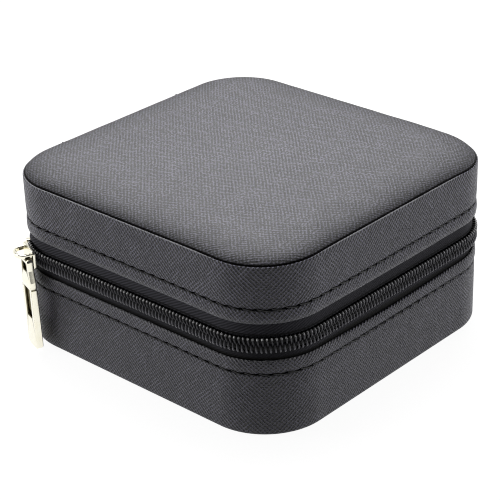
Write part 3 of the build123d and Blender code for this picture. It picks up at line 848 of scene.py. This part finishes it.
def rounded(corners):
    points = []
    for number, (x, y, radius) in enumerate(corners):
        corner = Vector((x, y))
        before = (Vector(corners[number - 1][:2]) - corner).normalized()
        after = (Vector(corners[(number + 1) % len(corners)][:2]) - corner).normalized()
        reach = radius / tan(before.angle(after) / 2)
        middle = corner + (before + after).normalized() * radius / sin(before.angle(after) / 2)
        start, end = corner + before * reach - middle, corner + after * reach - middle
        for step in range(7):
            spoke = start.lerp(end, step / 6).normalized() * radius
            points.append(tuple(middle + spoke))
    return points


# One side of an outline and its mirror image: half widths, levels and corner radii.
def mirrored(side):
    side = [tuple(value * mm for value in corner) for corner in side]
    return rounded(side + [(-x, y, radius) for x, y, radius in reversed(side)])


# Pull: a framed tab with a collar between its head and its window.
pull = lengths(thickness=1.9, bevel=0.28, slide=2.3, drop=0.35, out=0.3) | dict(
    lean=2.6, eye=[(1.6, -0.7, 0.7), (1.6, -3.1, 0.7)], window=[(1.9, -8.6, 0.5), (1.9, -17.6, 0.5)],
    outline=[(2.8, 0.6, 0.9), (2.8, -2.6, 0.9), (3.6, -6.2, 0.9), (3.6, -7.7, 0.06), (3.2, -7.75, 0.06),
             (3.2, -8.35, 0.06), (3.8, -8.4, 0.1), (3.8, -27.1, 1.7)])
curve = bpy.data.curves.new("pullOutline", "CURVE")
curve.dimensions, curve.fill_mode = "2D", "BOTH"
curve.extrude, curve.bevel_depth = pull["thickness"] / 2 - pull["bevel"], pull["bevel"]
curve.bevel_resolution, curve.offset = 3, -pull["bevel"]
for line in (mirrored(pull[part]) for part in ("outline", "eye", "window")):
    spline = curve.splines.new("POLY")
    spline.points.add(len(line) - 1)
    for point, (x, y) in zip(spline.points, line):
        point.co = (x, y, 0, 1)
    spline.use_cyclic_u = True
drawn = addObject("pullOutline", curve)
mesh = shapedMesh(drawn)
bpy.data.objects.remove(drawn)


# Painted shade darkens the inside of the eye and the window and the edge on the case's side.
def paintedShadeAt(place):
    onBack = place.z < pull["bevel"] * 0.7 - pull["thickness"] / 2
    holes = -17.8 * mm < place.y < -8.4 * mm or place.y > -3.3 * mm
    return 1.0 if onBack or abs(place.x) < 2.1 * mm and holes else 0.0


# Share of painted shade at each vertex of the pull.
dull = [paintedShadeAt(vertex.co) for vertex in mesh.vertices]
mesh.attributes.new("wearAndPaintedLight", "FLOAT", "POINT").data.foreach_set("value", dull)
hang = Matrix((forward, (0, 0, 1), outward)).transposed().to_4x4()
lean = Matrix.Rotation(radians(pull["lean"]), 4, "Z")
place = hangPoint + forward * pull["slide"] + outward * pull["out"] - Vector((0, 0, pull["drop"]))
mesh.transform(Matrix.Translation(place) @ hang @ lean)
rework(mesh, mergeDoubles, faceOut)
dress(mesh, gold, 40)
show(addObject("zipPull", mesh), "pull", "metal", "zip_pull")

edges = lengths(stop=0.15, rivet=0.15, socket=0.08, cap=0.3)
for body in ("base", "lid"):
    polished(body + "_zip_top_stop", body + "ZipTopStop", body, edges["stop"])
    polished(body + "_zip_end_stop", body + "ZipEndStop", body, edges["stop"])
polished("tab_rivets", "tabRivets", "lid", edges["rivet"])
polished("snap_sockets", "snapSockets", "lid", edges["socket"])
for number in (1, 2, 3):
    polished(f"snap_cap_{number}", f"snapCap{number}", f"hook_tab_{number}", edges["cap"])
print("metal pieces made")


# Leather hinge panel across the back, in one piece, sewn along its sides.
panelFoot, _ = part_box("hinge_panel_base")
_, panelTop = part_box("hinge_panel_lid")
bendLow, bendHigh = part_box("hinge_panel_bend")
hinge = lengths(crease=0.14, edgeRound=0.35, stitchIn=2.0, stitchEnd=1.5, topDrop=0.9)
panelTop.z -= hinge["topDrop"]
overBend = ("lid", (0, bendLow.y, bendLow.z), (0, bendLow.y, bendHigh.z))


def panelOut(height):
    share = (height - bendLow.z) / (bendHigh.z - bendLow.z)
    return -hinge["crease"] * (1 - cos(turn * 3 * share)) / 2 if 0 < share < 1 else 0.0


levels = stops(panelFoot.z, bendLow.z, 2.5 * mm)[:-1] + stops(bendLow.z, bendHigh.z, 0.4 * mm)[:-1] + \
    stops(bendHigh.z, panelTop.z, 2.5 * mm)
inner, outer = panelFoot.y, bendHigh.y
half, roundOff = (bendHigh.x - bendLow.x) / 2, hinge["edgeRound"]
columns = [half * (number / 10) for number in range(-10, 11)]
rows = []
for height in levels:
    out = outer + panelOut(height)
    ends = min(height - panelFoot.z, panelTop.z - height)
    out -= roundOff if ends < 0.1 * mm else 0.0
    row = [(-half, inner, height), (-half, out - roundOff, height)]
    row += [(x * (1 - 0.25 * mm / half) if abs(x) == half else x, out, height) for x in columns]
    row += [(half, out - roundOff, height), (half, inner, height)]
    rows.append(row)
across = runs([(x, y) for x, y, _ in rows[0]])
hingePanel = lattice("hingePanel", rows, lambda row, column: (across[column], levels[row]), leatherWall)
show(hingePanel, "base", "leather_wall", "hinge_panel_base", "hinge_panel_bend", "hinge_panel_lid",
     bend=overBend)
sewnAt = stops(panelFoot.z + hinge["stitchEnd"], panelTop.z - hinge["stitchEnd"], 0.8 * mm)
for side in (-1, 1):
    x = side * (half - hinge["stitchIn"])
    points = [(x, outer + panelOut(height) - 0.05 * mm, height) for height in sewnAt]
    sewn = strands(f"hingeStitches{side + 2}", points, [(0, 1, 0)] * len(points), stitchSizes(), thread)
    show(sewn, "base", "thread", bend=overBend)

# Velvet strip that covers the hinge inside.
liningLow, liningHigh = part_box("hinge_lining")
half = (liningHigh.x - liningLow.x) / 2
rows, levels = [], stops(liningLow.z, liningHigh.z, 0.5 * mm)
for height in levels:
    share = (height - liningLow.z) / (liningHigh.z - liningLow.z)
    fold = 0.3 * mm * sin(pi * share) * (1 + 0.3 * sin(turn * 3 * share))
    rows.append([(x, liningLow.y - fold, height) for x in stops(-half, half, 3 * mm)] +
                [(x, liningHigh.y - fold, height) for x in reversed(stops(-half, half, 3 * mm))])
hingeLining = lattice("hingeLining", rows, lambda row, column: (column * mm, levels[row]), velvet)
show(hingeLining, "base", "velvet", "hinge_lining",
     bend=("lid", (0, liningLow.y, liningLow.z), (0, liningLow.y, liningHigh.z)))
print("hinge made")


# Velvet linings of the two shells: walls and floor in one.
lining = lengths(outer=2.8, inner=3.6, rimOuter=1.6, turnIn=0.7, rimRound=0.35, floorRound=1.6, floor=0.8)
for body, sign in (("base", 1), ("lid", -1)):
    low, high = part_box(body + "_lining")
    rim, back = (high.z, low.z) if sign > 0 else (low.z, high.z)
    face, turned = back + sign * lining["floor"], rim - sign * lining["turnIn"]
    roundOff, fillet, rimOuter = lining["rimRound"], lining["floorRound"], lining["rimOuter"]
    profile = [(lining["outer"], back, 0.0), (lining["outer"], turned, 0.0), (rimOuter, turned, 0.0),
               (rimOuter, rim - sign * 0.1 * mm, 0.0), (rimOuter + 0.1 * mm, rim, 0.0)]
    profile += [(lining["inner"] - roundOff + out, rim - sign * (roundOff - up), 0.0)
                for out, up in arc((0, 0), roundOff, 90, 0, 4)]
    profile += [(lining["inner"], rim + (face - rim) * share, 0.0) for share in (0.2, 0.4, 0.6, 0.8)]
    profile += [(lining["inner"] + fillet - out, face + sign * (fillet - up), 0.0)
                for out, up in arc((0, 0), fillet, 0, 90, 6)]
    profile += [(lining["inner"] + fillet + 6 * mm, face, share) for share in (0.0, 0.3, 0.6, 0.97)]
    show(rings(body + "VelvetLining", profile, 300, velvet), body, "velvet", body + "_lining")
print("linings made")


# Rounded bars: rolls, partition, dividers and trims.
def bar(name, low, high, axis, material, look):
    look = lengths(step=1.5, soft=0, ruffle=0, ruffleLength=2) | look
    other = 1 - axis
    length, width, height = high[axis] - low[axis], high[other] - low[other], high.z - low.z
    ends = look["endRound"]
    round6 = [ends * (1 - cos(pi / 2 * number / 6)) for number in range(7)]
    marks = {*round6, *(length - mark for mark in round6), *stops(ends, length - ends, look["step"])}
    kept = thinned(sorted(marks), 0.01 * mm)
    rows, base = [], barSection(width, height, look["lowRound"], look["highRound"])
    for mark in kept:
        near = min(mark, length - mark)
        shrink = ends - sqrt(max(0.0, ends ** 2 - (ends - min(near, ends)) ** 2))
        narrow, lower = max(0.05, 1 - 2 * shrink / width), max(0.05, 1 - shrink / height)
        row = []
        for across, up in base:
            wave = look["ruffle"] * sin(turn * mark / look["ruffleLength"])
            soft = look["soft"] * rough(mark / (7 * mm), across / (4 * mm), low.z / mm + up / mm)
            grow = 1 + (wave + soft) / (width / 2)
            across, up = across * narrow * (min(grow, 1.0) if look["soft"] else grow), up * lower
            point = [0.0, 0.0, low.z + up]
            point[axis], point[other] = low[axis] + mark, (low[other] + high[other]) / 2 + across
            row.append(tuple(point))
        rows.append(row)
    around = runs(base)
    return lattice(name, rows, lambda row, column: (kept[row], around[column]), material)


rollLook = lengths(lowRound=0.9, highRound=3.9, endRound=1.8, soft=-0.16)
for number in range(1, 6):
    roll = bar(f"ringRoll{number}", *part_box(f"ring_roll_{number}"), 1, velvet, rollLook)
    show(roll, "base", "velvet", f"ring_roll_{number}")
partitionLook = lengths(lowRound=0.2, highRound=1.1, endRound=0.3)
show(bar("partition", *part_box("partition"), 1, velvet, partitionLook), "base", "velvet", "partition")
coverLook = lengths(lowRound=0.5, highRound=1.1, endRound=0.8)
for node in ("divider_front", "divider_rear"):
    show(bar(node + "Cover", *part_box(node), 0, velvet, coverLook), node, "velvet", node)
print("tray fittings made")


# Necklace strip and its tabs in the lid.
stripLow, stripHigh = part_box("hook_strip")
stripLook = lengths(lowRound=0.4, highRound=0.2, endRound=0.5, step=4)
show(bar("hookStrip", stripLow, stripHigh, 0, leatherInner, stripLook), "lid", "leather_wall", "hook_strip")
inset = 1.6 * mm
corners = [(stripLow.x + inset, stripLow.y + inset), (stripHigh.x - inset, stripLow.y + inset),
           (stripHigh.x - inset, stripHigh.y - inset), (stripLow.x + inset, stripHigh.y - inset)]
points = []
for (x, y), (nextX, nextY) in zip(corners, corners[1:] + corners[:1]):
    points += [(x + (nextX - x) * share, y + (nextY - y) * share, stripLow.z)
               for share in stops(0, 1, 0.02)[:-1]]
show(strands("stripStitches", points, [(0, 0, -1)] * len(points), stitchSizes(0.6), thread), "lid", "thread")
rootLow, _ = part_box("tab_roots")
for number in (1, 2, 3):
    tabLow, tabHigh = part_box(f"hook_tab_{number}")
    middle, half = (tabLow.x + tabHigh.x) / 2, (tabHigh.x - tabLow.x) / 2
    tip, cut, low, high = 2.6 * mm, 0.3 * mm, tabLow.z + 0.05 * mm, tabHigh.z + 0.05 * mm
    rows, marks = [], stops(rootLow.y, tabHigh.y - tip, 0.6 * mm)
    marks += [tabHigh.y - tip + tip * sin(pi / 2 * share / 7) for share in range(1, 8)]
    for mark in marks:
        past = max(0.0, mark - (tabHigh.y - tip))
        wide = half - tip + sqrt(max(0.0, tip * tip - past * past))
        flat = wide - cut
        section = [(-wide, high - cut), (-wide, low + cut), (-flat, low), (0, low - 0.02 * mm), (flat, low),
                   (wide, low + cut), (wide, high - cut), (flat, high), (-flat, high)]
        rows.append([(middle + across, mark, up) for across, up in section])
    around = runs([(x, z) for x, _, z in rows[0]])
    tab = lattice(f"hookTab{number}", rows, lambda row, column: (marks[row], around[column]), leatherInner)
    fold = joints[f"hook_tab_{number}_snap"]["pos_m"][1]
    show(tab, "lid", "leather_wall", f"hook_tab_{number}", *(["tab_roots"] if number == 1 else []),
         bend=(f"hook_tab_{number}", (middle, fold - 0.8 * mm, low), (middle, fold + 0.9 * mm, low)))

# Gathered elastic pocket, hung from the lid's ceiling, with a ruffled hem.
pocketLow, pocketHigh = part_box("lid_pocket")
hemLow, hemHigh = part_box("pocket_hem")
pocket = lengths(cutWidth=92, cutHeight=43, thickness=0.5, gather=0.35, gatherLength=3.1, wander=9, fade=15,
                 sideReach=7, backReach=12)
xs, ys = stops(pocketLow.x, pocketHigh.x, 0.5 * mm), stops(pocketLow.y, pocketHigh.y, 1.2 * mm)
points, faces = [], []
for y in ys:
    for x in xs:
        toSide = min(1.0, (pocketHigh.x - abs(x)) / pocket["sideReach"])
        toBack = min(1.0, (pocketHigh.y - y) / pocket["backReach"])
        full = (1 - (1 - toSide) ** 4) * (1 - (1 - toBack) ** 2.2)
        wander = 0.35 * rough(x / pocket["wander"], y / pocket["wander"], 1)
        ripple = sin(turn * (x / pocket["gatherLength"] + wander))
        drop = (hemHigh.z - 0.5 * mm - pocketHigh.z) * full
        drop += pocket["gather"] * ripple * exp(-(y - pocketLow.y) / pocket["fade"]) * full
        points.append((x, y, pocketHigh.z - 0.1 * mm + drop))
for row in range(len(ys) - 1):
    for column in range(len(xs) - 1):
        first = row * len(xs) + column
        faces.append((first, first + 1, first + 1 + len(xs), first + len(xs)))
pocketPiece = makePiece("lidPocket", points, faces, None, elastic)
thicken = pocketPiece.modifiers.new("thickness", "SOLIDIFY")
thicken.thickness, thicken.offset = pocket["thickness"], 0.0
pocketPiece.data = shapedMesh(pocketPiece)
pocketPiece.modifiers.clear()
show(pocketPiece, "lid", "elastic", "lid_pocket")
hem = bar("pocketHem", hemLow, hemHigh, 0, elastic, lengths(
    lowRound=0.6, highRound=0.6, endRound=0.5, step=0.4, ruffle=0.16, ruffleLength=2.2))
show(hem, "lid", "elastic", "pocket_hem")
print("lid fittings made")


# Rigid boards that stay as modelled.
for node in ("base_bottom_board", "base_wall_board", "lid_top_board", "lid_wall_board", "ring_tray_board"):
    mesh = frame["nodes"][node].data
    mesh.materials.clear()
    mesh.materials.append(velvet if node == "ring_tray_board" else board)


# Stage: pale floor, soft lights and camera.
stage = dict(floorHalf=3.0, floorTone=0.2, floorGlow=0.94, world=0.115, ceiling=0.1, shade=0.12,
             shadeAim=(-0.66, -0.62, 0.42))


def seenDirectly(g, *kinds):
    path = g.add("LightPath")
    rays = [path.beside(f"Is {name} Ray") for name in kinds]
    return g.clamp(sum(rays[1:], rays[0]))


def floorMaterial():
    material, g = newMaterial("paleFloor")
    matt = g.add("BsdfDiffuse", {"Color": colour(stage["floorTone"])})
    seen = seenDirectly(g, "Camera", "Glossy", "Transmission")
    glow = g.add("Emission", {"Color": (1, 1, 1, 1), "Strength": seen * stage["floorGlow"]})
    g.add("OutputMaterial", {"Surface": g.add("AddShader", {0: matt, 1: glow})})
    return material


floorMesh = bpy.data.meshes.new("floor")
half = stage["floorHalf"]
corners = [(-half, -half, 0), (half, -half, 0), (half, half, 0), (-half, half, 0)]
floorMesh.from_pydata(corners, [], [(0, 1, 2, 3)])
floorMesh.materials.append(floorMaterial())
addObject("floor", floorMesh)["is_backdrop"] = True

world = bpy.data.worlds.new("studio")
bpy.context.scene.world = world
world.use_nodes = True
world.node_tree.nodes.clear()
g = Graph(world.node_tree)


# 1 below one value, the given share above another, and a smooth change between them.
def fade(value, start, end, share):
    sockets = {"Value": value, "From Min": start, "From Max": end, "To Min": 1.0, "To Max": share}
    return g.add("MapRange", sockets, interpolation_type="SMOOTHSTEP")


heading = g.add("TexCoord")
facing = g.add("VectorMath", {0: heading, 1: stage["shadeAim"]}, 1, operation="DOT_PRODUCT")
lit = fade(facing, 0.1, 0.85, stage["shade"])
overhead = fade(g.axes(heading)[2], 0.40, 0.66, stage["ceiling"])
seen, glossy = seenDirectly(g, "Camera", "Transmission"), seenDirectly(g, "Glossy")
strength = seen + (1 - seen) * lit * (stage["world"] + glossy * (overhead - stage["world"]))
g.add("OutputWorld", {"Surface": g.add("Background", {"Color": (1, 1, 1, 1), "Strength": strength})})


def softLight(name, place, aimHeight, size, power):
    data = bpy.data.lights.new(name, "AREA")
    data.shape, data.size, data.size_y, data.energy = "RECTANGLE", size, size, power
    lamp = addObject(name, data)
    lamp.location = place
    lamp.rotation_mode = "QUATERNION"
    lamp.rotation_quaternion = (Vector((0, 0, aimHeight)) - Vector(place)).to_track_quat("-Z", "Y")


softLight("topLight", (0.3, 0.34, 0.85), 0.03, 0.8, 7.5)
softLight("leftLight", (-0.75, 0.9, 0.3), 0.02, 0.5, 3.4)
softLight("rightLight", (0.9, -0.75, 0.3), 0.02, 0.5, 2.45)

view = dict(azimuth=-47.04, elevation=27.20, roll=-1.78, distance=507.76 * mm, lens=121.37,
            target=(13.98 * mm, 14.29 * mm, 11.49 * mm))
azimuth, elevation, roll = (radians(view[key]) for key in ("azimuth", "elevation", "roll"))
back = Vector((sin(azimuth) * cos(elevation), -cos(azimuth) * cos(elevation), sin(elevation)))
right = Vector((0, 0, 1)).cross(back).normalized()
up = back.cross(right)
across, upward = right * cos(roll) + up * sin(roll), up * cos(roll) - right * sin(roll)
lens = bpy.data.cameras.new("camera")
lens.lens, lens.sensor_width, lens.clip_start, lens.clip_end = view["lens"], 36, 0.01, 20
camera = addObject("camera", lens)
camera.matrix_world = Matrix.Translation(Vector(view["target"]) + back * view["distance"]) @ \
    Matrix((across, upward, back)).transposed().to_4x4()
bpy.context.scene.camera = camera
bpy.context.scene.cycles.filter_width = 1.1
bpy.context.scene.view_settings.view_transform = "Standard"
print("stage made")

low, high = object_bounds()
